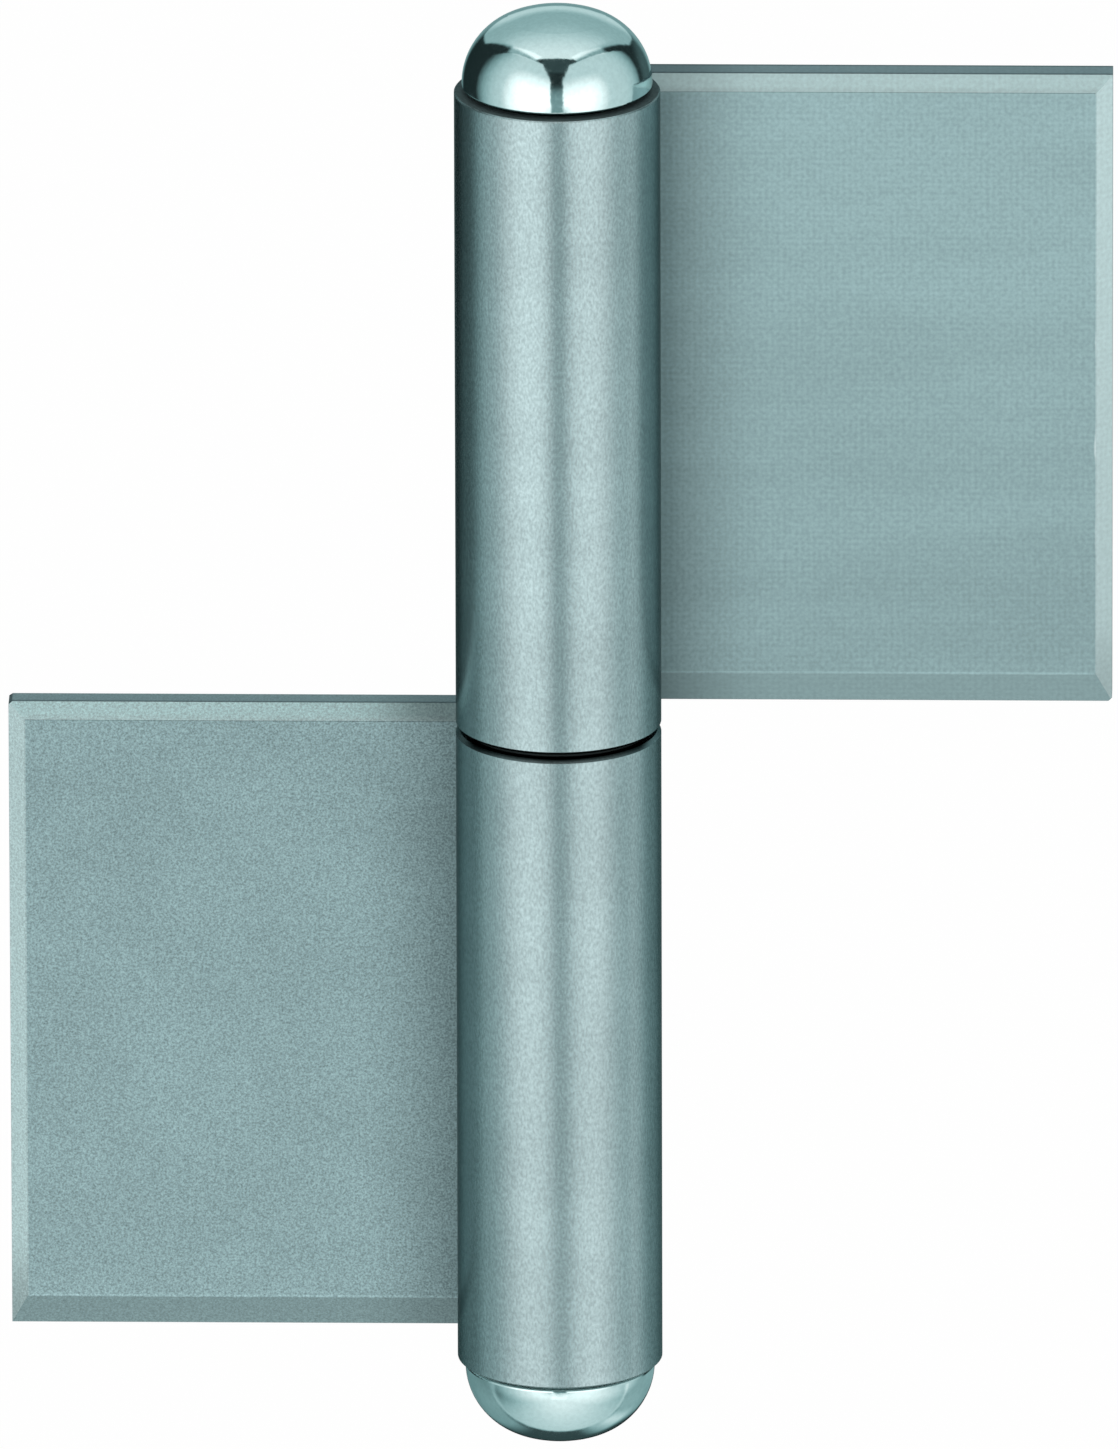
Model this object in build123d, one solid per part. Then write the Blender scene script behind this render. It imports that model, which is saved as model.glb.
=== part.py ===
from build123d import *
import os
from math import cos, radians, sin, sqrt

# Weld-on flag hinge: two drawn leaves with their barrels, a pressed pin, a bearing ring and two domed caps.
# All sizes are millimetres. Z is the pin axis and the origin is on it, half way through the bearing ring.
# +X runs along the upper leaf and +Y points out of the flat backs that are welded to the door and the frame.

# Barrels
BARREL_DIAMETER = 20.0
BARREL_LENGTH = 64.75
BARREL_END_CHAMFER = 0.15
PARTING_EDGE_BREAK = 0.35

# Leaves
LEAF_REACH = 53.75
LEAF_THICKNESS = 4.0
LEAF_SETBACK = 0.6
LEAF_ROOT_RADIUS = 1.0

# Weld bevels, ground on the front of three edges of each leaf
BEVEL_DEPTH = 1.25
BEVEL_FREE_EDGE = 1.6
BEVEL_UPPER_EDGE = 1.55
BEVEL_LOWER_EDGE = 3.2

# Pin
PIN_DIAMETER = 12.0
PIN_PRESSED_LENGTH = 50.0
PIN_RUNNING_LENGTH = 45.0
PIN_FOOT_CHAMFER = 0.6
PIN_NOSE_CHAMFER = 1.5
PIN_RUNNING_CLEARANCE = 0.05
BORE_LEAD_CHAMFER = 0.6

# Bearing ring
RING_THICKNESS = 0.5
RING_SETBACK = 0.9
RING_BORE_CLEARANCE = 0.2
RING_EDGE_CHAMFER = 0.15

# Caps
CAP_LEDGE = 0.75
CAP_HEIGHT = 8.2
CAP_GROOVE_HEIGHT = 0.4
CAP_GROOVE_DEPTH = 1.0
CAP_ARCH_ANGLE = 68.0
CAP_RIM_RADIUS = 0.3
CAP_STEM_DIAMETER = 13.0
CAP_STEM_LENGTH = 8.0
CAP_STEM_CHAMFER = 0.5
CAP_SEAT_END_CLEARANCE = 0.5

# Sizes that follow from the ones above
BARREL_RADIUS = BARREL_DIAMETER / 2
PIN_RADIUS = PIN_DIAMETER / 2
LEAF_FRONT = BARREL_RADIUS - LEAF_THICKNESS
LEAF_CAP_END = BARREL_LENGTH - LEAF_SETBACK
PARTING_FACE = RING_THICKNESS / 2
CAP_SEAT_FACE = PARTING_FACE + BARREL_LENGTH
RING_DIAMETER = BARREL_DIAMETER - 2 * RING_SETBACK
CAP_DIAMETER = BARREL_DIAMETER - 2 * CAP_LEDGE

STANDING = (Align.CENTER, Align.CENTER, Align.MIN)


def leaf_section():
    """Section of the drawn profile: a round barrel with the flat running tangent to its back, towards +X."""
    root_y = LEAF_FRONT - LEAF_ROOT_RADIUS
    root_x = sqrt((BARREL_RADIUS + LEAF_ROOT_RADIUS) ** 2 - root_y**2)
    onto_barrel = BARREL_RADIUS / (BARREL_RADIUS + LEAF_ROOT_RADIUS)
    root_on_leaf = (root_x, LEAF_FRONT)
    root_on_barrel = (root_x * onto_barrel, root_y * onto_barrel)
    back_tangent = (0, BARREL_RADIUS)
    flat = Polyline(
        back_tangent,
        (LEAF_REACH, BARREL_RADIUS),
        (LEAF_REACH, LEAF_FRONT),
        root_on_leaf,
    )
    root = TangentArc(root_on_leaf, root_on_barrel, tangent=(-1, 0))
    barrel = ThreePointArc(root_on_barrel, (-BARREL_RADIUS, 0), back_tangent)
    return make_face(flat + root + barrel)


def bevel_bar(edge, width, run):
    """Bar that takes a weld bevel off the front of a leaf.

    In the plane called edge, x goes into the leaf's thickness and y goes from the edge into its face.
    The slanted side of the bar crosses the front face at the bevel's width and the edge at its depth.
    """
    triangle = Polyline(
        (-BEVEL_DEPTH, -width),
        (2 * BEVEL_DEPTH, -width),
        (-BEVEL_DEPTH, 2 * width),
        close=True,
    )
    return extrude(edge * make_face(triangle), amount=run.length, dir=run)


def weld_bevels(cap_end_width, parting_end_width):
    """The three bevel bars of one leaf, kept off the barrel so that they end at its round."""
    along_leaf = Vector(LEAF_REACH, 0, 0)
    along_barrel = Vector(0, 0, BARREL_LENGTH)
    cap_end = Plane((0, LEAF_FRONT, LEAF_CAP_END), x_dir=(0, 1, 0), z_dir=(-1, 0, 0))
    parting_end = Plane((0, LEAF_FRONT, 0), x_dir=(0, 1, 0), z_dir=(1, 0, 0))
    free_edge = Plane((LEAF_REACH, LEAF_FRONT, 0), x_dir=(0, 1, 0), z_dir=(0, 0, 1))
    barrel = Cylinder(BARREL_RADIUS, 3 * BARREL_LENGTH)
    return [
        bevel_bar(cap_end, cap_end_width, along_leaf) - barrel,
        bevel_bar(parting_end, parting_end_width, along_leaf) - barrel,
        bevel_bar(free_edge, BEVEL_FREE_EDGE, along_barrel),
    ]


def barrel_bore(bore_radius):
    """What is drilled out of one barrel: the pin bore, its lead-in and the seat of the cap's stem."""
    seat_depth = CAP_STEM_LENGTH + CAP_SEAT_END_CLEARANCE
    bore = Cylinder(bore_radius, BARREL_LENGTH, align=STANDING)
    lead = Cone(bore_radius + BORE_LEAD_CHAMFER, bore_radius, BORE_LEAD_CHAMFER, align=STANDING)
    seat = Cylinder(CAP_STEM_DIAMETER / 2, seat_depth, align=STANDING)
    return bore + lead + Pos(0, 0, BARREL_LENGTH - seat_depth) * seat


def leaf_with_barrel(cap_end_bevel, parting_end_bevel, bore_radius):
    """One leaf and its barrel, standing on the parting face at z = 0 with the cap end up."""
    drawn = extrude(leaf_section(), LEAF_CAP_END)
    drawn = chamfer(drawn.edges().group_by(Axis.Z)[0], PARTING_EDGE_BREAK)
    collar = Cylinder(BARREL_RADIUS, LEAF_SETBACK, align=STANDING)
    collar = chamfer(collar.edges().group_by(Axis.Z)[-1], BARREL_END_CHAMFER)
    whole = drawn + Pos(0, 0, LEAF_CAP_END) * collar
    for bar in weld_bevels(cap_end_bevel, parting_end_bevel):
        whole -= bar
    return whole - barrel_bore(bore_radius)


def upper_leaf():
    """The leaf that carries the door: it runs free on the pin."""
    half = leaf_with_barrel(BEVEL_UPPER_EDGE, BEVEL_LOWER_EDGE, PIN_RADIUS + PIN_RUNNING_CLEARANCE)
    return Pos(0, 0, PARTING_FACE) * half


def lower_leaf():
    """The leaf on the frame: the same profile turned end for end, with the pin pressed into it."""
    half = leaf_with_barrel(BEVEL_LOWER_EDGE, BEVEL_UPPER_EDGE, PIN_RADIUS)
    return Rot(0, 180, 0) * Pos(0, 0, PARTING_FACE) * half


def hinge_pin():
    """Round pin pressed into the lower barrel, with a long chamfer on the nose for the upper one."""
    foot = -PARTING_FACE - PIN_PRESSED_LENGTH
    length = PIN_PRESSED_LENGTH + RING_THICKNESS + PIN_RUNNING_LENGTH
    pin = Cylinder(PIN_RADIUS, length, align=STANDING)
    pin = chamfer(pin.edges().group_by(Axis.Z)[-1], PIN_NOSE_CHAMFER)
    pin = chamfer(pin.edges().group_by(Axis.Z)[0], PIN_FOOT_CHAMFER)
    return Pos(0, 0, foot) * pin


def bearing_ring():
    """Flat ring on the pin that carries the upper barrel and keeps the two barrels apart."""
    ring = Cylinder(RING_DIAMETER / 2, RING_THICKNESS)
    ring = chamfer(ring.edges(), RING_EDGE_CHAMFER)
    return ring - Cylinder(PIN_RADIUS + RING_BORE_CLEARANCE, RING_THICKNESS)


def domed_cap():
    """Turned plug with its seat at z = 0: a stem below, and above it a groove and a dome on a basket arch.

    The groove under the rim leaves a neck that sits on the barrel's end. The arch is a shoulder arc that
    rises upright from the rim and a flatter crown arc on the axis, tangent to each other where the shoulder
    has turned through the arch angle.
    """
    turn = radians(CAP_ARCH_ANGLE)
    rim = CAP_DIAMETER / 2
    rim_top = CAP_GROOVE_HEIGHT + CAP_RIM_RADIUS
    rise = CAP_HEIGHT - rim_top
    radius_step = (rim - rise) / (cos(turn) + sin(turn) - 1)
    shoulder = rise - radius_step * (1 - sin(turn))
    crown = shoulder + radius_step
    shoulder_center = (rim - shoulder, rim_top)
    crown_center = (0, CAP_HEIGHT - crown)
    neck = rim - CAP_GROOVE_DEPTH
    stem = CAP_STEM_DIAMETER / 2
    stem_outline = Polyline(
        (0, -CAP_STEM_LENGTH),
        (stem - CAP_STEM_CHAMFER, -CAP_STEM_LENGTH),
        (stem, CAP_STEM_CHAMFER - CAP_STEM_LENGTH),
        (stem, 0),
        (neck, 0),
        (neck, CAP_GROOVE_HEIGHT),
        (rim - CAP_RIM_RADIUS, CAP_GROOVE_HEIGHT),
    )
    rim_arc = CenterArc((rim - CAP_RIM_RADIUS, rim_top), CAP_RIM_RADIUS, -90, 90)
    shoulder_arc = CenterArc(shoulder_center, shoulder, 0, CAP_ARCH_ANGLE)
    crown_arc = CenterArc(crown_center, crown, CAP_ARCH_ANGLE, 90 - CAP_ARCH_ANGLE)
    axis_line = Line((0, CAP_HEIGHT), (0, -CAP_STEM_LENGTH))
    outline = make_face(stem_outline + rim_arc + shoulder_arc + crown_arc + axis_line)
    return revolve(Plane.XZ * outline, Axis.Z)


def upper_cap():
    """Cap pressed into the top of the upper barrel."""
    return Pos(0, 0, CAP_SEAT_FACE) * domed_cap()


def lower_cap():
    """Cap pressed into the bottom of the lower barrel."""
    return Rot(0, 180, 0) * Pos(0, 0, CAP_SEAT_FACE) * domed_cap()


os.makedirs("parts", exist_ok=True)
for piece in (upper_leaf, lower_leaf, hinge_pin, bearing_ring, upper_cap, lower_cap):
    export_step(piece(), f"parts/{piece.__name__}.step")
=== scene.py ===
"""Looks of a weld-on flag hinge: satin drawn leaves, polished caps, and a studio tent around them.

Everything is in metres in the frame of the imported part: Z is the pin axis, +X runs along the upper leaf
and +Y points out of the weld backs, so the camera looks along +Y from a little above.
"""

import logging
import math
from dataclasses import dataclass, replace
from enum import Enum

import bpy
import numpy as np
from mathutils import Matrix, Vector


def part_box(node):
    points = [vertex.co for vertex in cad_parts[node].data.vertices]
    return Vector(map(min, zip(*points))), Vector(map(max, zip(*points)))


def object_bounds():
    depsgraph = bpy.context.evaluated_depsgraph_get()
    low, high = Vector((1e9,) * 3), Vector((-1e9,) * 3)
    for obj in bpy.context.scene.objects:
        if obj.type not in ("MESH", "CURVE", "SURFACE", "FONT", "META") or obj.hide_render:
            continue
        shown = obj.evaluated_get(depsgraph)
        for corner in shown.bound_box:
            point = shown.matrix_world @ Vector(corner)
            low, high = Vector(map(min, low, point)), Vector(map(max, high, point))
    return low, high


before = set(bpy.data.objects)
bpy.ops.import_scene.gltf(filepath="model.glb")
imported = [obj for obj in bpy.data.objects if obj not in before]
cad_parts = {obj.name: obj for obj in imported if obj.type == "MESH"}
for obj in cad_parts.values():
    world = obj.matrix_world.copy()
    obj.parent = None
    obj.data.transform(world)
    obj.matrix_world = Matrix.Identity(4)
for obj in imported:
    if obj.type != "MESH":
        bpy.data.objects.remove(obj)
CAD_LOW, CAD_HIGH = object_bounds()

LOG = logging.getLogger("hinge")
MILLIMETRE = 0.001
HAIR = 0.03 * MILLIMETRE
GROOVE_TOP = 65.4 * MILLIMETRE
GRAZING = 1e-6

Colour = tuple[float, float, float]
Span = tuple[float, float]
Socket = bpy.types.NodeSocket
Value = Socket | float


def smoothstep(low: float, high: float, values: np.ndarray) -> np.ndarray:
    """Rises from 0 at low to 1 at high along 3t^2 - 2t^3, where t is the share of the way.

    Args:
        low: value at which the rise starts.
        high: value at which it ends.
        values: where it is worked out.

    Returns:
        The height of the step at each value.
    """
    share = np.clip((values - low) / (high - low), 0.0, 1.0)
    return share * share * (3.0 - 2.0 * share)


def grid_mesh(name: str, points: np.ndarray) -> bpy.types.Object:
    """Puts a grid of points into a mesh, one four-sided face between each four neighbours.

    Args:
        name: name of the new object.
        points: array of rows by columns by 3.

    Returns:
        The object, linked to the scene.
    """
    rows, columns = points.shape[:2]
    index = np.arange(rows * columns).reshape(rows, columns)
    corners = (index[:-1, :-1], index[:-1, 1:], index[1:, 1:], index[1:, :-1])
    faces = np.stack(corners, axis=-1).reshape(-1, 4)
    mesh = bpy.data.meshes.new(name)
    mesh.from_pydata(points.reshape(-1, 3).tolist(), [], faces.tolist())
    mesh.update()
    built = bpy.data.objects.new(name, mesh)
    bpy.context.scene.collection.objects.link(built)
    return built


class Graph:
    """The node tree of one material, with short calls for the nodes that the finishes use."""

    def __init__(self, name: str) -> None:
        """Starts an empty tree.

        Args:
            name: name of the material.
        """
        self.material = bpy.data.materials.new(name)
        self.material.use_nodes = True
        self.tree = self.material.node_tree
        self.tree.nodes.clear()
        self.output = self.node("ShaderNodeOutputMaterial")

    def node(self, kind: str, **settings: object) -> bpy.types.Node:
        """Adds a node.

        Args:
            kind: Blender's name of the node's type.
            settings: values of the node's own options.

        Returns:
            The new node.
        """
        made = self.tree.nodes.new(kind)
        for option, value in settings.items():
            setattr(made, option, value)
        return made

    def feed(self, socket: Socket, value: Value | Colour) -> None:
        """Links a socket to another one, or sets its own value.

        Args:
            socket: input to be fed.
            value: an output socket, a number or a colour.
        """
        if isinstance(value, Socket):
            self.tree.links.new(value, socket)
        elif isinstance(value, tuple) and len(value) != len(socket.default_value):
            socket.default_value = (*value, 1.0)
        else:
            socket.default_value = value

    def place(self) -> Socket:
        """Finds the piece's own coordinates, in metres."""
        return self.node("ShaderNodeTexCoord").outputs["Object"]

    def axes(self, place: Socket) -> tuple[Socket, Socket, Socket]:
        """Takes coordinates apart.

        Args:
            place: coordinates in metres.

        Returns:
            Their X, Y and Z.
        """
        made = self.node("ShaderNodeSeparateXYZ")
        self.feed(made.inputs[0], place)
        return tuple(made.outputs)

    def math(self, operation: str, *values: Value) -> Socket:
        """Works out one number from others.

        Args:
            operation: Blender's name of the operation.
            values: its operands.

        Returns:
            The result.
        """
        made = self.node("ShaderNodeMath", operation=operation)
        for socket, value in zip(made.inputs, values):
            self.feed(socket, value)
        return made.outputs[0]

    def product(self, first: Socket, *others: Value) -> Socket:
        """Multiplies numbers.

        Args:
            first: one of them.
            others: the rest.

        Returns:
            Their product.
        """
        total = first
        for value in others:
            total = self.math("MULTIPLY", total, value)
        return total

    def ramp(self, value: Value, start: Span, end: Span) -> Socket:
        """Carries a number smoothly from one value to another.

        Args:
            value: the number that drives it.
            start: where it starts, as the driving number and the result.
            end: where it ends, the same way.

        Returns:
            The result, which stays level outside the two.
        """
        made = self.node("ShaderNodeMapRange", interpolation_type="SMOOTHSTEP")
        self.feed(made.inputs["Value"], value)
        for limit, (at, result) in (("Min", start), ("Max", end)):
            self.feed(made.inputs[f"From {limit}"], at)
            self.feed(made.inputs[f"To {limit}"], result)
        return made.outputs["Result"]

    def rise(self, value: Value, start: float, end: float) -> Socket:
        """Goes smoothly up from 0 to 1.

        Args:
            value: the number that drives it.
            start: where it leaves 0.
            end: where it reaches 1.

        Returns:
            The height of the step.
        """
        return self.ramp(value, (start, 0.0), (end, 1.0))

    def fall(self, value: Value, start: float, end: float) -> Socket:
        """Goes smoothly down from 1 to 0.

        Args:
            value: the number that drives it.
            start: where it leaves 1.
            end: where it reaches 0.

        Returns:
            The height of the step.
        """
        return self.ramp(value, (start, 1.0), (end, 0.0))

    def noise(
        self, place: Socket, stretch: Colour, detail: float = 2.0, fine: float = 0.5
    ) -> Socket:
        """A cloud of grains.

        Args:
            place: coordinates in metres.
            stretch: grains per metre along X, Y and Z.
            detail: how many finer layers it has.
            fine: share that each finer layer keeps of the one before.

        Returns:
            A number about one half.
        """
        mapping = self.node("ShaderNodeMapping")
        self.feed(mapping.inputs["Vector"], place)
        self.feed(mapping.inputs["Scale"], stretch)
        made = self.node("ShaderNodeTexNoise")
        self.feed(made.inputs["Vector"], mapping.outputs["Vector"])
        self.feed(made.inputs["Scale"], 1.0)
        self.feed(made.inputs["Detail"], detail)
        self.feed(made.inputs["Roughness"], fine)
        return made.outputs["Fac"]

    def waver(self, cloud: Socket, reach: float, swing: float) -> Socket:
        """Turns a cloud of grains into a share about 1.

        Args:
            cloud: the cloud, a number about one half.
            reach: how far from one half it has its full effect.
            swing: what it adds to 1 or takes from it there.

        Returns:
            The share.
        """
        return self.ramp(cloud, (0.5 - reach, 1.0 - swing), (0.5 + reach, 1.0 + swing))

    def blend(self, share: Value, first: Value | Colour, second: Value | Colour) -> Socket:
        """Mixes two colours.

        Args:
            share: how much of the second one.
            first: colour at 0.
            second: colour at 1.

        Returns:
            The mixed colour.
        """
        made = self.node("ShaderNodeMix", data_type="RGBA")
        self.feed(made.inputs["Factor"], share)
        self.feed(made.inputs[6], first)
        self.feed(made.inputs[7], second)
        return made.outputs[2]

    def mix(self, share: Value, first: Value, second: Value) -> Socket:
        """Mixes two numbers.

        Args:
            share: how much of the second one.
            first: number at 0.
            second: number at 1.

        Returns:
            The mixed number.
        """
        made = self.node("ShaderNodeMix")
        self.feed(made.inputs["Factor"], share)
        self.feed(made.inputs["A"], first)
        self.feed(made.inputs["B"], second)
        return made.outputs["Result"]

    def shade(self, colour: Socket | Colour, share: Value) -> Socket:
        """Makes a colour darker or lighter by a share.

        Args:
            colour: the colour.
            share: below 1 to darken it, above 1 to lighten it.

        Returns:
            The changed colour.
        """
        made = self.node("ShaderNodeVectorMath", operation="SCALE")
        self.feed(made.inputs["Vector"], colour)
        self.feed(made.inputs["Scale"], share)
        return made.outputs["Vector"]

    def tone(self, colour: Socket, zone: Socket, share: float, full: float = 1.0) -> Socket:
        """Makes a colour darker or lighter in one part of the surface.

        Args:
            colour: the colour.
            zone: the part, from 0 outside it to 1 inside.
            share: below 1 to darken it, above 1 to lighten it.
            full: how far inside the part the share is reached.

        Returns:
            The changed colour.
        """
        return self.shade(colour, self.ramp(zone, (0.0, 1.0), (full, share)))

    def bump(self, height: Value, distance: float) -> Socket:
        """Tilts the surface by a relief.

        Args:
            height: relief, about from 0 to 1.
            distance: height in metres that 1 stands for.

        Returns:
            The tilted normal.
        """
        made = self.node("ShaderNodeBump")
        self.feed(made.inputs["Strength"], 1.0)
        self.feed(made.inputs["Distance"], distance)
        self.feed(made.inputs["Height"], height)
        return made.outputs["Normal"]

    def metal(
        self, colour: Socket, roughness: Value, normal: Socket, edge: Socket | Colour
    ) -> bpy.types.Material:
        """Ends the tree in bare metal.

        Args:
            colour: reflected colour.
            roughness: from 0, a mirror, to 1.
            normal: tilted normal.
            edge: tint of the reflection at a glancing angle.

        Returns:
            The finished material.
        """
        made = self.node("ShaderNodeBsdfPrincipled")
        self.feed(made.inputs["Metallic"], 1.0)
        self.feed(made.inputs["Base Color"], colour)
        self.feed(made.inputs["Roughness"], roughness)
        self.feed(made.inputs["Specular Tint"], edge)
        self.feed(made.inputs["Normal"], normal)
        self.feed(self.output.inputs["Surface"], made.outputs["BSDF"])
        return self.material


@dataclass(frozen=True)
class GrainMarks:
    """Grain of a rolled face.

    The grains and the clouds are counted per metre. The swing and the weave are the shares of the tint
    that the grains and the threads change, and fine is what each finer layer keeps of the one before.
    """

    per_metre: Colour
    swing: float
    weave: float = 0.0
    clouds: Colour = (90.0, 90.0, 90.0)
    fine: float = 0.5


class Grain(Enum):
    """Marks of the mill on a leaf."""

    WOVEN = GrainMarks((2800.0, 2800.0, 2800.0), 0.12, 0.024, (28.0, 28.0, 130.0))
    SPECKLED = GrainMarks((4700.0, 4700.0, 4700.0), 0.50, fine=0.8)


@dataclass(frozen=True)
class LeafSizes:
    """Sizes of one leaf and its barrel that the finish goes by, in metres.

    The parting and the cap end are the barrel's ends, as heights without a sign. The low and the high
    edge are the leaf's own.
    """

    radius: float
    reach: float
    front: float
    back: float
    parting: float
    parting_break: float
    cap_end: float
    end_chamfer: float
    low_edge: float
    high_edge: float
    bevel_depth: float
    side_bevel: float
    low_bevel: float
    high_bevel: float


@dataclass(frozen=True)
class ZoneLimits:
    """Where one part of a leaf's surface passes into the next.

    The parting reach and the root reach are shares of the barrel's radius, and the border is one of half
    the edge's thickness. The mitre, the bevel end, the line, the high fade and the low rise are shares of
    a bevel's width. The parting fade and the high strength are what is left of a part at its weak end.
    """

    parting_reach: Span = (0.80, 0.95)
    parting_fade: float = 0.72
    root_reach: Span = (0.8, 2.3)
    border: Span = (0.55, 0.95)
    mitre: float = 0.02
    bevel_end: Span = (1.0, 1.1)
    line: Span = (0.01, 0.06)
    high_fade: Span = (0.55, 1.0)
    high_strength: float = 0.55
    low_rise: Span = (0.4, 3.2)
    wander_marks: Colour = (1.0, 1.0, 130.0)
    wander_from: Span = (0.5, 0.72)


@dataclass(frozen=True)
class BarrelZones:
    """Parts of a barrel's surface, as numbers from 0 to 1 in its material."""

    whole: Socket
    ledge: Socket
    arris: Socket
    parting_face: Socket


@dataclass(frozen=True)
class FlatZones:
    """Parts of a flat's surface, as numbers from 0 to 1 in its material."""

    bevel: Socket
    low_bevel: Socket
    high_bevel: Socket
    bevel_line: Socket
    low_rise: Socket
    edge: Socket
    edge_border: Socket
    root: Socket


@dataclass
class LeafSurface:
    """Finds the parts of a leaf's surface from its own coordinates, in the leaf's material.

    The wander is how far the inner line of the side bevel strays.
    """

    graph: Graph
    sizes: LeafSizes
    wander: float
    limits: ZoneLimits = ZoneLimits()

    def __post_init__(self) -> None:
        """Takes the coordinates apart.

        Out is x without its sign, and the radius is the root of x squared plus y squared.
        """
        graph = self.graph
        self.place = graph.place()
        self.x, self.y, self.z = graph.axes(self.place)
        self.out = graph.math("ABSOLUTE", self.x)
        squares = (graph.product(self.x, self.x), graph.product(self.y, self.y))
        self.radius = graph.math("SQRT", graph.math("ADD", *squares))

    def barrel_zones(self) -> BarrelZones:
        """Finds the barrel, the ledge and arris at its cap end and the broken edge at the other.

        Returns:
            The parts of the barrel.
        """
        graph, sizes, limits = self.graph, self.sizes, self.limits
        height = graph.math("ABSOLUTE", self.z)
        whole = graph.fall(self.radius, sizes.radius + HAIR, sizes.radius + 5 * HAIR)
        chamfer_foot = sizes.cap_end - sizes.end_chamfer
        arris = graph.product(whole, graph.rise(height, chamfer_foot - HAIR, chamfer_foot))
        ledge_rim = sizes.radius - sizes.end_chamfer
        ledge = graph.product(arris, graph.fall(self.radius, ledge_rim, ledge_rim + HAIR))
        parting_top = sizes.parting + sizes.parting_break
        parting = graph.fall(height, parting_top - HAIR, parting_top)
        # the parting face's painted shade weakens a little across the break, away from the gap, and fades
        # towards the sides
        fading = graph.ramp(
            height, (sizes.parting + HAIR, 1.0), (parting_top, limits.parting_fade)
        )
        in_front = graph.fall(self.out, *(share * sizes.radius for share in limits.parting_reach))
        return BarrelZones(
            whole=whole,
            ledge=ledge,
            arris=arris,
            parting_face=graph.product(whole, parting, fading, in_front),
        )

    def ground_face(self, from_side: Socket) -> Socket:
        """Finds what was ground off: all that lies behind the front, and a strip at the free edge.

        Args:
            from_side: distance from the free edge.

        Returns:
            The ground face.
        """
        graph, sizes, limits = self.graph, self.sizes, self.limits
        start, end = limits.wander_from
        stray = graph.noise(self.place, limits.wander_marks)
        stray = graph.ramp(stray, (start, 0.0), (end, self.wander))
        strip = graph.math("ADD", sizes.side_bevel, stray)
        strip = graph.fall(graph.math("SUBTRACT", from_side, strip), -4 * HAIR, 4 * HAIR)
        behind_front = graph.rise(self.y, sizes.front + HAIR, sizes.front + 2 * HAIR)
        return graph.math("MAXIMUM", behind_front, strip)

    def end_bevel(
        self, bevel: Socket, side_share: Socket, edge: float, width: float
    ) -> tuple[Socket, Socket]:
        """Finds the bevel at one end of the leaf.

        Its share goes from 0 on the edge to 1 at the bevel's width. The bevel is mitred where its share
        is that of the side bevel.

        Args:
            bevel: all the bevels.
            side_share: share of the side bevel, from 0 on the free edge to 1 at its width.
            edge: height of the edge.
            width: width of the bevel, less than 0 where it goes down from the edge.

        Returns:
            The bevel and its share.
        """
        graph, limits = self.graph, self.limits
        share = graph.product(graph.math("SUBTRACT", self.z, edge), 1.0 / width)
        ahead = graph.math("SUBTRACT", side_share, share)
        mitre = graph.rise(ahead, -limits.mitre, limits.mitre)
        return graph.product(bevel, mitre, graph.fall(share, *limits.bevel_end)), share

    def flat_zones(self, barrel: Socket) -> FlatZones:
        """Finds the bevels, the sheared edge and the root, on the front of the flat alone.

        Args:
            barrel: where the barrel is.

        Returns:
            The parts of the flat.
        """
        graph, sizes, limits = self.graph, self.sizes, self.limits
        before_back = graph.fall(self.y, sizes.back - HAIR, sizes.back)
        off_barrel = graph.product(graph.math("SUBTRACT", 1.0, barrel), before_back)
        from_side = graph.math("SUBTRACT", sizes.reach, self.out)
        side_share = graph.math("DIVIDE", from_side, sizes.side_bevel)
        bevel = graph.product(off_barrel, self.ground_face(from_side))
        low, low_share = self.end_bevel(bevel, side_share, sizes.low_edge, sizes.low_bevel)
        high, high_share = self.end_bevel(bevel, side_share, sizes.high_edge, -sizes.high_bevel)
        start, end = limits.high_fade
        # the high bevel's share, and so its painted light, weakens towards its inner line
        inner = graph.ramp(high_share, (start, 1.0), (end, limits.high_strength))
        from_line = graph.math("ABSOLUTE", graph.math("SUBTRACT", low_share, 1.0))
        line = graph.product(off_barrel, graph.fall(from_line, *limits.line))
        bevel_foot = sizes.front + sizes.bevel_depth
        edge = graph.product(off_barrel, graph.rise(self.y, bevel_foot - HAIR, bevel_foot))
        middle, half_edge = (bevel_foot + sizes.back) / 2, (sizes.back - bevel_foot) / 2
        from_middle = graph.math("ABSOLUTE", graph.math("SUBTRACT", self.y, middle))
        border = graph.rise(from_middle, *(share * half_edge for share in limits.border))
        root = graph.fall(self.out, *(share * sizes.radius for share in limits.root_reach))
        return FlatZones(
            bevel=bevel,
            low_bevel=low,
            high_bevel=graph.product(high, inner),
            bevel_line=graph.product(line, graph.rise(side_share, *limits.bevel_end)),
            low_rise=graph.rise(low_share, *limits.low_rise),
            edge=edge,
            edge_border=graph.product(edge, border),
            root=graph.product(off_barrel, root),
        )


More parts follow.
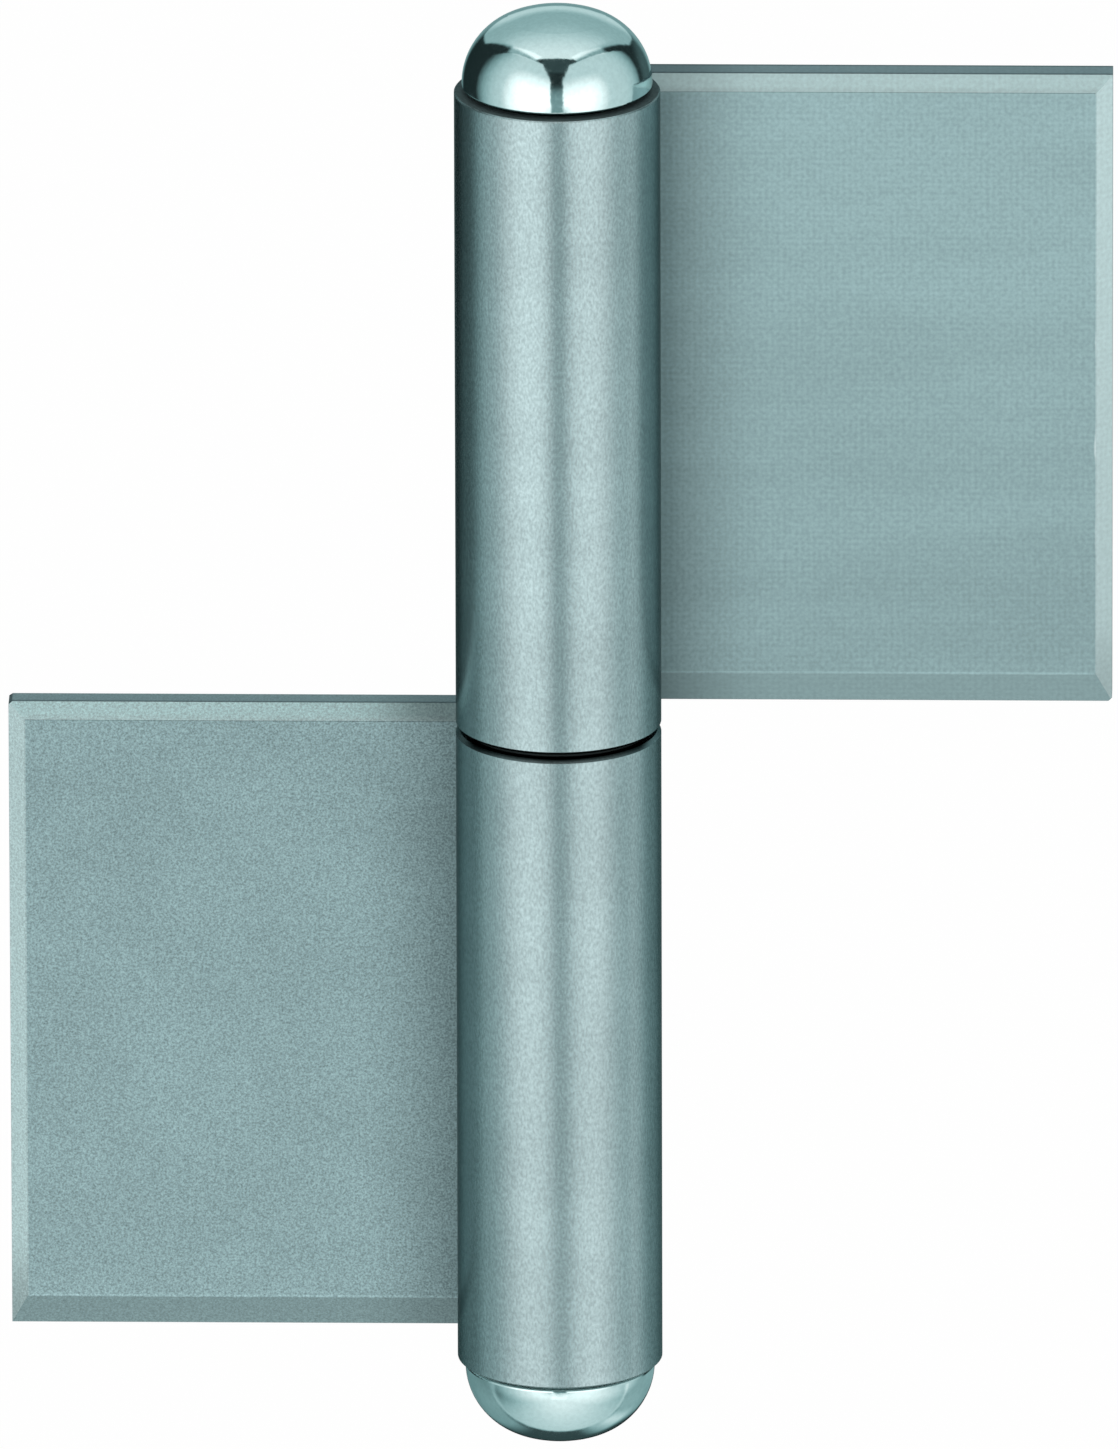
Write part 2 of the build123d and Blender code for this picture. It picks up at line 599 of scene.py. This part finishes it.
@dataclass(frozen=True)
class DrawnSteel:
    """Bare drawn steel: grainy on the barrel, woven or speckled on the flat, ground on the bevels."""

    name: str
    grain: Grain
    brighter_upward: float = 0.0
    # parting: painted shade, near black on the broken edge at the parting gap
    parting: Colour = (0.020, 0.027, 0.027)
    flat: Colour = (0.232, 0.322, 0.332)
    barrel: Colour = (0.305, 0.392, 0.400)
    ground: Colour = (0.472, 0.560, 0.562)
    # ground colour of the end bevels, with painted shade on the low bevel and painted light on the high
    # one
    low_ground_shaded: Colour = (0.240, 0.330, 0.338)
    high_ground_lit: Colour = (0.580, 0.718, 0.718)
    sheared: Colour = (0.310, 0.375, 0.395)
    # ledge: painted shade on the end face under the cap; the lower leaf sets it lighter, as painted light
    ledge: Colour = (0.120, 0.155, 0.157)
    # arris: painted highlight along the chamfer at the cap end
    arris: Colour = (0.360, 0.450, 0.455)
    root_shade: float = 0.30
    bevel_root_shade: float = 0.0
    bevel_root_full: float = 0.8
    # painted highlight along the inner line of the low bevel
    bevel_line_highlight: float = 0.22
    border_shade: float = 0.4
    low_end_shade: float = 0.80
    flat_sheen: Colour = (0.75, 0.80, 0.80)
    barrel_sheen: Colour = (0.22, 0.25, 0.25)
    flat_roughness: float = 0.42
    barrel_roughness: float = 0.27
    ledge_roughness: float = 0.75
    weave_period: float = 0.58 * MILLIMETRE
    grain_reach: float = 0.35
    bevel_smoothing: float = 0.35
    cloud_detail: float = 3.0
    cloud_reach: float = 0.2
    cloud_swing: float = 0.05
    peel: GrainMarks = GrainMarks((4400.0, 4400.0, 2500.0), 0.22)
    peel_height: float = 0.008 * MILLIMETRE
    wander: float = 0.22 * MILLIMETRE

    def rolled_tint(self, surface: LeafSurface, barrel: BarrelZones, flat: FlatZones) -> Socket:
        """Share by which the grain of the mill brightens or darkens each spot.

        Args:
            surface: the leaf's surface.
            barrel: parts of the barrel.
            flat: parts of the flat.

        Returns:
            A number about 1.
        """
        graph, marks = surface.graph, self.grain.value
        grain = graph.noise(surface.place, marks.per_metre, fine=marks.fine)
        grain = graph.waver(grain, self.grain_reach, marks.swing)
        if marks.weave > 0.0:
            for axis in (surface.x, surface.z):
                turn = graph.product(axis, 2.0 * math.pi / self.weave_period)
                thread = graph.product(graph.math("SINE", turn), marks.weave)
                grain = graph.math("ADD", grain, thread)
        peel = graph.noise(surface.place, self.peel.per_metre)
        peel = graph.waver(peel, self.grain_reach, self.peel.swing)
        tint = graph.mix(barrel.whole, grain, peel)
        return graph.mix(graph.product(flat.bevel, self.bevel_smoothing), tint, 1.0)

    def bare_colour(self, surface: LeafSurface, barrel: BarrelZones, flat: FlatZones) -> Socket:
        """Colour of each spot before the grain of the mill.

        Args:
            surface: the leaf's surface.
            barrel: parts of the barrel.
            flat: parts of the flat.

        Returns:
            The colour.
        """
        graph, sizes = surface.graph, surface.sizes
        cloud = graph.noise(surface.place, self.grain.value.clouds, self.cloud_detail)
        colour = graph.blend(barrel.whole, self.flat, self.barrel)
        colour = graph.shade(colour, graph.waver(cloud, self.cloud_reach, self.cloud_swing))
        ground = graph.shade(self.ground, graph.mix(flat.low_rise, self.low_end_shade, 1.0))
        colour = graph.blend(flat.bevel, colour, ground)
        # painted shade on the low bevel and painted light on the high bevel
        colour = graph.blend(flat.low_bevel, colour, self.low_ground_shaded)
        colour = graph.blend(flat.high_bevel, colour, self.high_ground_lit)
        hidden = graph.product(flat.root, flat.high_bevel)
        colour = graph.tone(colour, hidden, 1.0 - self.bevel_root_shade, self.bevel_root_full)
        # painted highlight: a thin bright line along the low bevel's inner edge
        colour = graph.tone(colour, flat.bevel_line, 1.0 + self.bevel_line_highlight)
        colour = graph.blend(flat.edge, colour, self.sheared)
        colour = graph.tone(colour, flat.edge_border, 1.0 - self.border_shade)
        colour = graph.tone(colour, flat.root, 1.0 - self.root_shade)
        top = 1.0 + self.brighter_upward
        rise = graph.ramp(surface.z, (sizes.low_edge, 1.0), (sizes.high_edge, top))
        colour = graph.shade(colour, graph.mix(barrel.whole, rise, 1.0))
        # painted highlight on the chamfer at the cap end
        colour = graph.blend(barrel.arris, colour, self.arris)
        # painted shade on the upper barrel's end face under the cap, painted light on the lower one's
        colour = graph.blend(barrel.ledge, colour, self.ledge)
        # painted shade: the broken edge at the parting gap is coloured near black
        return graph.blend(barrel.parting_face, colour, self.parting)

    def material(self, sizes: LeafSizes) -> bpy.types.Material:
        """Builds the finish on the leaf's own coordinates.

        Args:
            sizes: where the barrel ends and where the bevels lie.

        Returns:
            The material.
        """
        graph = Graph(self.name)
        surface = LeafSurface(graph, sizes, self.wander)
        barrel = surface.barrel_zones()
        flat = surface.flat_zones(barrel.whole)
        tint = self.rolled_tint(surface, barrel, flat)
        colour = graph.shade(self.bare_colour(surface, barrel, flat), tint)
        roughness = graph.mix(barrel.whole, self.flat_roughness, self.barrel_roughness)
        roughness = graph.mix(barrel.ledge, roughness, self.ledge_roughness)
        relief = graph.product(tint, barrel.whole, self.peel_height)
        off_flat = graph.math("MAXIMUM", barrel.whole, flat.bevel)
        sheen = graph.blend(off_flat, self.flat_sheen, self.barrel_sheen)
        return graph.metal(colour, roughness, graph.bump(relief, 1.0), sheen)


@dataclass(frozen=True)
class PolishedMetal:
    """Bright plated metal with a trace of orange peel, with painted shade in the groove under the rim."""

    name: str
    groove_top: float
    colour: Colour = (0.52, 0.66, 0.66)
    # groove: painted shade in the groove under the rim
    groove: Colour = (0.05, 0.07, 0.07)
    edge_tint: Colour = (0.65, 0.75, 0.75)
    roughness: float = 0.08
    peel: Colour = (2300.0, 2300.0, 2300.0)
    peel_height: float = 0.003 * MILLIMETRE
    peel_reach: float = 0.3
    peel_swing: float = 0.05
    gloss_swing: Span = (-0.02, 0.03)

    def material(self) -> bpy.types.Material:
        """Builds the finish: a near mirror whose gloss wavers a little.

        Returns:
            The material.
        """
        graph = Graph(self.name)
        place = graph.place()
        height = graph.math("ABSOLUTE", graph.axes(place)[2])
        above = graph.rise(height, self.groove_top, self.groove_top + HAIR)
        cloud = graph.noise(place, self.peel)
        # painted shade: the groove under the rim is coloured dark
        tint = graph.blend(above, self.groove, self.colour)
        tint = graph.shade(tint, graph.waver(cloud, self.peel_reach, self.peel_swing))
        low, high = (self.roughness + change for change in self.gloss_swing)
        gloss = graph.ramp(cloud, (0.5 - self.peel_reach, low), (0.5 + self.peel_reach, high))
        return graph.metal(tint, gloss, graph.bump(cloud, self.peel_height), self.edge_tint)


@dataclass(frozen=True)
class TurnedSteel:
    """Turned steel with fine rings round the axis."""

    name: str
    colour: Colour
    roughness: float
    rings: Colour = (60.0, 60.0, 6000.0)
    ring_height: float = 0.004 * MILLIMETRE
    ring_reach: float = 0.3
    ring_swing: float = 0.15
    gloss_swing: float = 0.06
    edge_tint: Colour = (0.8, 0.8, 0.8)

    def material(self) -> bpy.types.Material:
        """Builds the finish: the tool's rings change tint, gloss and relief.

        Returns:
            The material.
        """
        graph = Graph(self.name)
        rings = graph.noise(graph.place(), self.rings)
        tint = graph.shade(self.colour, graph.waver(rings, self.ring_reach, self.ring_swing))
        low, high = self.roughness - self.gloss_swing, self.roughness + self.gloss_swing
        gloss = graph.ramp(rings, (0.5 - self.ring_reach, low), (0.5 + self.ring_reach, high))
        return graph.metal(tint, gloss, graph.bump(rings, self.ring_height), self.edge_tint)


@dataclass
class FlagLeaf:
    """One leaf with its barrel."""

    node: str
    finish: DrawnSteel
    thickness: float = 4.0 * MILLIMETRE
    setback: float = 0.6 * MILLIMETRE
    parting_break: float = 0.35 * MILLIMETRE
    end_chamfer: float = 0.15 * MILLIMETRE
    bevel_depth: float = 1.25 * MILLIMETRE
    side_bevel: float = 1.6 * MILLIMETRE
    low_bevel: float = 3.2 * MILLIMETRE
    high_bevel: float = 1.55 * MILLIMETRE

    def sizes(self) -> LeafSizes:
        """Reads the leaf's sizes from its node.

        Returns:
            The sizes that the finish goes by.
        """
        low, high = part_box(self.node)
        upright = high.z > 0.0
        ends = sorted((abs(low.z), abs(high.z)))
        return LeafSizes(
            radius=-low.y,
            reach=max(-low.x, high.x),
            front=high.y - self.thickness,
            back=high.y,
            parting=ends[0],
            parting_break=self.parting_break,
            cap_end=ends[1],
            end_chamfer=self.end_chamfer,
            low_edge=low.z if upright else low.z + self.setback,
            high_edge=high.z - self.setback if upright else high.z,
            bevel_depth=self.bevel_depth,
            side_bevel=self.side_bevel,
            low_bevel=self.low_bevel,
            high_bevel=self.high_bevel,
        )

    def dress(self) -> None:
        """Gives the leaf its finish, fitted to its own sizes."""
        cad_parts[self.node].material_slots[0].material = self.finish.material(self.sizes())
        LOG.info("dressed %s in %s", self.node, self.finish.name)


@dataclass
class TurnedPiece:
    """A piece that was turned round the pin axis: the pin, the ring or a cap."""

    node: str
    finish: PolishedMetal | TurnedSteel

    def dress(self) -> None:
        """Gives the piece its finish."""
        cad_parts[self.node].material_slots[0].material = self.finish.material()
        LOG.info("dressed %s in %s", self.node, self.finish.name)


def rectangle(low: Span, high: Span) -> tuple[Span, ...]:
    """Corners of an upright rectangle, against the clock.

    Args:
        low: its low left corner.
        high: its high right corner.

    Returns:
        The four corners, from the low left one on.
    """
    return low, (high[0], low[1]), high, (low[0], high[1])


@dataclass(frozen=True)
class Panel:
    """A flat light panel with straight edges that faces the hinge.

    Its middle stands in a direction, and its corners are measured across and up from there on a plane
    one unit away. They go round against the clock. The edge from each corner to the next has its own fade,
    which is how far inside that edge the panel reaches its full strength.
    """

    corners: tuple[Span, ...]
    fades: tuple[float, ...]
    strength: float
    azimuth: float = 0.0
    elevation: float = 0.0

    def mirrored(self) -> "Panel":
        """The same panel on the other side of the camera.

        Returns:
            The mirrored panel.
        """
        corners = tuple((-across, up) for across, up in reversed(self.corners))
        fades = (*reversed(self.fades[:-1]), self.fades[-1])
        return replace(self, azimuth=-self.azimuth, corners=corners, fades=fades)

    def glow(self, directions: np.ndarray) -> np.ndarray:
        """Light of the panel in each direction.

        A direction d meets the plane at d.right / d.out across and d.upward / d.out up. The light is the
        product of one smooth rise for each edge, from 0 on the edge to 1 at its fade inside.

        Args:
            directions: unit vectors from the hinge, any shape by 3.

        Returns:
            The brightness, 0 where the panel isn't.
        """
        turn, tilt = math.radians(self.azimuth), math.radians(self.elevation)
        level = math.cos(tilt)
        out = np.array([math.sin(turn) * level, -math.cos(turn) * level, math.sin(tilt)])
        right = np.array([math.cos(turn), math.sin(turn), 0.0])
        upward = np.cross(out, right)
        depth = np.maximum(directions @ out, GRAZING)
        across, up = directions @ right / depth, directions @ upward / depth
        window = np.where(directions @ out > 0.0, self.strength, 0.0)
        following = self.corners[1:] + self.corners[:1]
        for here, there, fade in zip(self.corners, following, self.fades):
            run, climb = there[0] - here[0], there[1] - here[1]
            inside = run * (up - here[1]) - climb * (across - here[0])
            window = window * smoothstep(0.0, fade, inside / math.hypot(run, climb))
        return window


@dataclass
class LightTent:
    """A round tent about the hinge whose inside shows the studio's panels to the metal."""

    panels: tuple[Panel, ...]
    fill: float = 0.035
    cool: Colour = (0.66, 1.0, 1.02)
    neutral: Colour = (1.0, 1.0, 1.0)
    neutral_from: Span = (0.2, 1.42)
    radius: float = 1.2
    rows: int = 361
    columns: int = 721

    def light(self, directions: np.ndarray) -> np.ndarray:
        """Light of the whole tent in each direction.

        It is the sum of the panels and the fill, cool where that is weak and neutral where it is strong.

        Args:
            directions: unit vectors from the hinge, any shape by 3.

        Returns:
            Red, green, blue and an alpha of 1.
        """
        glow = self.fill + sum(panel.glow(directions) for panel in self.panels)
        warmth = smoothstep(*self.neutral_from, glow)[..., None]
        cool, neutral = np.array(self.cool), np.array(self.neutral)
        light = glow[..., None] * (cool + (neutral - cool) * warmth)
        return np.concatenate((light, np.ones_like(light[..., :1])), axis=-1)

    def build(self) -> bpy.types.Object:
        """Builds the tent and writes each point's light on it.

        A point at latitude u and longitude v is radius times (cos u sin v, -cos u cos v, sin u).

        Returns:
            The tent, seen by reflections alone.
        """
        latitude = np.linspace(-math.pi / 2, math.pi / 2, self.rows)[:, None]
        longitude = np.linspace(-math.pi, math.pi, self.columns)[None, :]
        directions = np.stack(
            (
                np.cos(latitude) * np.sin(longitude),
                -np.cos(latitude) * np.cos(longitude),
                np.sin(latitude) + 0.0 * longitude,
            ),
            axis=-1,
        )
        tent = grid_mesh("light_tent", self.radius * directions)
        attribute = tent.data.attributes.new("glow", "FLOAT_COLOR", "POINT")
        attribute.data.foreach_set("color", self.light(directions).astype(np.float32).ravel())
        graph = Graph("tent_light")
        source = graph.node("ShaderNodeAttribute", attribute_name="glow")
        emission = graph.node("ShaderNodeEmission")
        graph.feed(emission.inputs["Color"], source.outputs["Color"])
        graph.feed(graph.output.inputs["Surface"], emission.outputs["Emission"])
        graph.material.cycles.emission_sampling = "NONE"
        tent.data.materials.append(graph.material)
        tent.visible_camera = False
        tent.visible_diffuse = False
        tent.visible_shadow = False
        LOG.info("hung %d light panels in the tent", len(self.panels))
        return tent


@dataclass
class Studio:
    """Pale floor and white world."""

    floor_drop: float = 1.35
    floor_reach: float = 9.0
    floor_rings: int = 25
    floor_spokes: int = 65
    floor_white: float = 0.97
    floor_colour: Colour = (0.86, 0.86, 0.86)
    floor_clouds: Colour = (8.0, 8.0, 8.0)
    floor_shades: tuple[Span, Span] = ((0.3, 0.98), (0.7, 1.0))
    world_light: float = 0.9

    def seen_directly(self, tree: bpy.types.NodeTree) -> Socket:
        """Tells the rays that show the background from those that only light the scene.

        Args:
            tree: node tree of the floor or the world.

        Returns:
            1 for camera, glossy and transmission rays, and 0 for others.
        """
        path = tree.nodes.new("ShaderNodeLightPath")
        total = path.outputs["Is Camera Ray"]
        for kind in ("Is Glossy Ray", "Is Transmission Ray"):
            join = tree.nodes.new("ShaderNodeMath")
            join.operation = "ADD"
            join.use_clamp = True
            tree.links.new(total, join.inputs[0])
            tree.links.new(path.outputs[kind], join.inputs[1])
            total = join.outputs[0]
        return total

    def floor_paper(self) -> bpy.types.Material:
        """Builds the floor's paper: matt and a little cloudy, and white where it is seen.

        Returns:
            The material.
        """
        graph = Graph("floor_paper")
        paper = graph.node("ShaderNodeBsdfDiffuse")
        cloud = graph.noise(graph.place(), self.floor_clouds)
        tint = graph.shade(self.floor_colour, graph.ramp(cloud, *self.floor_shades))
        graph.feed(paper.inputs["Color"], tint)
        white = graph.node("ShaderNodeEmission")
        mix = graph.node("ShaderNodeMixShader")
        share = graph.product(self.seen_directly(graph.tree), self.floor_white)
        graph.feed(mix.inputs["Fac"], share)
        graph.feed(mix.inputs[1], paper.outputs["BSDF"])
        graph.feed(mix.inputs[2], white.outputs["Emission"])
        graph.feed(graph.output.inputs["Surface"], mix.outputs["Shader"])
        return graph.material

    def build_floor(self) -> bpy.types.Object:
        """Builds a round floor well below the hinge, which is held by its leaf and stands on nothing.

        A point of the disc is radius r from 0 to the reach and angle v round the pin axis.

        Returns:
            The floor.
        """
        radius = np.linspace(0.0, self.floor_reach, self.floor_rings)[:, None]
        angle = np.linspace(0.0, 2.0 * math.pi, self.floor_spokes)[None, :]
        x, y = radius * np.cos(angle), radius * np.sin(angle)
        z = np.full_like(x, CAD_LOW.z - self.floor_drop)
        floor = grid_mesh("studio_floor", np.stack((x, y, z), axis=-1))
        floor.data.materials.append(self.floor_paper())
        return floor

    def build_world(self) -> None:
        """Makes the world plain white where it is seen, and a soft fill elsewhere."""
        world = bpy.data.worlds.new("studio_world")
        bpy.context.scene.world = world
        world.use_nodes = True
        tree = world.node_tree
        background = tree.nodes["Background"]
        background.inputs["Color"].default_value = (1.0, 1.0, 1.0, 1.0)
        level = tree.nodes.new("ShaderNodeMapRange")
        level.inputs["To Min"].default_value = self.world_light
        level.inputs["To Max"].default_value = 1.0
        tree.links.new(self.seen_directly(tree), level.inputs["Value"])
        tree.links.new(level.outputs["Result"], background.inputs["Strength"])


@dataclass
class ProductCamera:
    """A long lens in front of the hinge and a little above it."""

    elevation: float = 18.9
    azimuth: float = 1.2
    roll: float = 0.14
    lens: float = 1200.0
    sensor: float = 36.0
    clip_reach: float = 3.0
    picture: tuple[int, int] = (1118, 1449)
    pixels_per_metre: float = 10283.0
    axis_pixel: Span = (558.6, 725.0)

    def place(self) -> bpy.types.Object:
        """Stands the camera where the hinge has its size and place in the picture.

        Returns:
            The camera, set as the scene's own.
        """
        tilt, turn = math.radians(self.elevation), math.radians(self.azimuth)
        level = math.cos(tilt)
        right = Vector((math.cos(turn), math.sin(turn), 0.0))
        back = Vector((math.sin(turn) * level, -math.cos(turn) * level, math.sin(tilt)))
        upward = back.cross(right)
        distance = self.picture[1] / self.pixels_per_metre * self.lens / self.sensor
        across = (self.picture[0] / 2 - self.axis_pixel[0]) / self.pixels_per_metre
        down = (self.picture[1] / 2 - self.axis_pixel[1]) / self.pixels_per_metre
        lens = bpy.data.cameras.new("product_camera")
        lens.lens = self.lens
        lens.sensor_width = self.sensor
        lens.clip_end = self.clip_reach * distance
        camera = bpy.data.objects.new("product_camera", lens)
        bpy.context.scene.collection.objects.link(camera)
        stand = Matrix.Translation(right * across - upward * down + back * distance)
        look = Matrix((right, upward, back)).transposed().to_4x4()
        camera.matrix_world = stand @ look @ Matrix.Rotation(-math.radians(self.roll), 4, "Z")
        bpy.context.scene.camera = camera
        return camera


# Light panels to the right and left of the camera; left ones are given as if on the right and mirrored
RIGHT_SOFTBOX = Panel(
    corners=((-0.76, -0.95), (5.0, -1.65), (5.0, 2.8), (1.1, 2.0), (-0.34, 1.75), (-0.76, 0.84)),
    fades=(0.90, 4.6, 0.12, 0.08, 0.05, 0.05),
    strength=0.9,
    azimuth=45.0,
)
LEFT_SOFTBOX = Panel(
    corners=(
        (-0.88, -0.90),
        (2.5, -0.95),
        (2.5, 1.5),
        (1.9, 1.75),
        (1.1, 1.98),
        (-0.34, 1.75),
        (-0.76, 0.84),
    ),
    fades=(0.62, 2.3, 0.12, 0.12, 0.08, 0.05, 0.05),
    strength=0.92,
    azimuth=45.0,
)
RIGHT_CORE = Panel(
    corners=((-0.31, -0.25), (1.02, -0.25), (1.02, 1.1), (-0.31, 0.8)),
    fades=(0.2, 0.8, 0.8, 0.05),
    strength=1.1,
    azimuth=25.0,
)
RIGHT_LOW_CORE = Panel(
    corners=rectangle((-0.31, -0.62), (1.02, -0.05)),
    fades=(0.55, 0.8, 0.2, 0.24),
    strength=1.1,
    azimuth=25.0,
)
LEFT_CORE = Panel(
    corners=((-0.33, -0.25), (1.08, -0.25), (1.08, 1.3), (-0.31, 0.95)),
    fades=(0.2, 0.85, 0.8, 0.05),
    strength=1.15,
    azimuth=25.0,
)
LEFT_LOW_CORE = Panel(
    corners=((-0.36, -0.62), (1.08, -0.62), (1.08, -0.05), (-0.33, -0.05)),
    fades=(0.50, 0.85, 0.2, 0.22),
    strength=1.15,
    azimuth=25.0,
)
RIGHT_SEAM = Panel(
    corners=((-0.48, 0.25), (0.08, -0.22), (0.23, -0.06), (-0.33, 0.41)),
    fades=(0.06, 0.10, 0.06, 0.06),
    strength=0.46,
    azimuth=95.0,
    elevation=57.0,
)
LEFT_SEAM = replace(RIGHT_SEAM, strength=0.56)

# Light panels over and about the camera
CAMERA_STAND = Panel(
    corners=rectangle((-0.2, -0.7), (0.2, 0.6)),
    fades=(0.1, 0.06, 0.5, 0.06),
    strength=0.40,
)
CAMERA_HOOD = Panel(
    corners=rectangle((-0.30, -0.28), (0.30, 0.28)),
    fades=(0.1, 0.1, 0.1, 0.1),
    strength=0.05,
    elevation=60.0,
)
OVERHEAD = Panel(
    corners=((-0.42, -0.38), (0.42, -0.38), (1.9, 2.1), (3.0, 7.0), (-3.0, 7.0), (-1.9, 2.1)),
    fades=(0.03, 0.10, 0.2, 2.5, 0.2, 0.10),
    strength=0.60,
    elevation=90.0,
)
OVERHEAD_FRONT = Panel(
    corners=((-0.42, -0.38), (0.42, -0.38), (1.1, 1.0), (-1.1, 1.0)),
    fades=(0.03, 0.16, 1.35, 0.10),
    strength=0.56,
    elevation=90.0,
)

# The bright table below
TABLE = Panel(
    corners=rectangle((-2.3, -0.22), (3.2, 2.3)),
    fades=(0.12, 3.2, 0.6, 2.4),
    strength=0.91,
    elevation=-90.0,
)
TABLE_FRONT = Panel(
    corners=rectangle((-2.3, -0.20), (3.2, 2.3)),
    fades=(1.6, 3.2, 0.6, 2.4),
    strength=0.38,
    elevation=-90.0,
)
TABLE_BACK = Panel(
    corners=rectangle((-1.5, -1.5), (1.5, -0.18)),
    fades=(0.6, 0.5, 0.05, 0.5),
    strength=0.06,
    elevation=-90.0,
)
TABLE_CORNER = Panel(
    corners=rectangle((0.12, -1.0), (0.85, -0.10)),
    fades=(0.4, 0.4, 0.12, 0.25),
    strength=0.60,
    elevation=-90.0,
)
RIGHT_SIDE_TABLE = Panel(
    corners=((0.3, -3.0), (4.0, -3.0), (4.0, 0.35), (0.3, -0.1)),
    fades=(1.0, 2.0, 0.25, 0.3),
    strength=0.52,
    elevation=-90.0,
)
LEFT_SIDE_TABLE = Panel(
    corners=((0.2, -2.8), (4.0, -2.8), (4.0, 0.6), (0.2, -0.15)),
    fades=(1.0, 2.6, 0.25, 0.3),
    strength=0.39,
    elevation=-90.0,
)

# What stands behind the hinge
BACK_WALL = Panel(
    corners=rectangle((-0.55, -0.5), (0.55, 0.6)),
    fades=(0.3, 0.3, 0.3, 0.3),
    strength=0.45,
    azimuth=180.0,
)
RIGHT_REAR = Panel(
    corners=rectangle((-0.5, -0.5), (0.5, 0.5)),
    fades=(0.35, 0.35, 0.35, 0.35),
    strength=0.12,
    azimuth=148.0,
    elevation=-6.0,
)

PANELS = (
    RIGHT_SOFTBOX,
    LEFT_SOFTBOX.mirrored(),
    RIGHT_CORE,
    RIGHT_LOW_CORE,
    LEFT_CORE.mirrored(),
    LEFT_LOW_CORE.mirrored(),
    CAMERA_STAND,
    OVERHEAD,
    OVERHEAD_FRONT,
    TABLE,
    TABLE_FRONT,
    TABLE_BACK,
    TABLE_CORNER,
    RIGHT_SIDE_TABLE,
    LEFT_SIDE_TABLE.mirrored(),
    CAMERA_HOOD,
    RIGHT_SEAM,
    LEFT_SEAM.mirrored(),
    BACK_WALL,
    RIGHT_REAR,
)

# Finishes of the six pieces
UPPER_STEEL = DrawnSteel(
    "woven_steel",
    Grain.WOVEN,
    brighter_upward=0.17,
    flat=(0.240, 0.336, 0.346),
)
LOWER_STEEL = DrawnSteel(
    "speckled_steel",
    Grain.SPECKLED,
    brighter_upward=-0.07,
    flat=(0.245, 0.342, 0.353),
    ground=(0.63, 0.73, 0.73),
    # painted shade on the low bevel and painted light on the high one
    low_ground_shaded=(0.212, 0.290, 0.296),
    high_ground_lit=(0.640, 0.830, 0.830),
    sheared=(0.390, 0.475, 0.495),
    # painted light on the end face under the lower cap
    ledge=(0.45, 0.54, 0.54),
    bevel_root_shade=0.34,
    low_end_shade=0.66,
    wander=0.0,
)
GROUND_PIN = TurnedSteel("ground_pin", (0.52, 0.58, 0.58), 0.26)
DARK_RING = TurnedSteel("dark_ring", (0.025, 0.032, 0.032), 0.6)
UPPER_BRIGHT = PolishedMetal("bright_cap_upper", GROOVE_TOP)
# the lower cap's groove has only a trace of painted shade
LOWER_BRIGHT = PolishedMetal("bright_cap_lower", GROOVE_TOP, groove=(0.5, 0.62, 0.62))


def main() -> None:
    """Builds the studio, dresses the hinge and reports each piece."""
    logging.basicConfig(level=logging.INFO, format="%(message)s")
    bpy.context.scene.view_settings.view_transform = "Standard"
    pieces = (
        FlagLeaf("upper_leaf", UPPER_STEEL),
        FlagLeaf("lower_leaf", LOWER_STEEL),
        TurnedPiece("hinge_pin", GROUND_PIN),
        TurnedPiece("bearing_ring", DARK_RING),
        TurnedPiece("upper_cap", UPPER_BRIGHT),
        TurnedPiece("lower_cap", LOWER_BRIGHT),
    )
    for piece in pieces:
        piece.dress()
    studio = Studio()
    studio.build_floor()
    studio.build_world()
    LightTent(PANELS).build()
    ProductCamera().place()


if __name__ == "__main__":
    main()
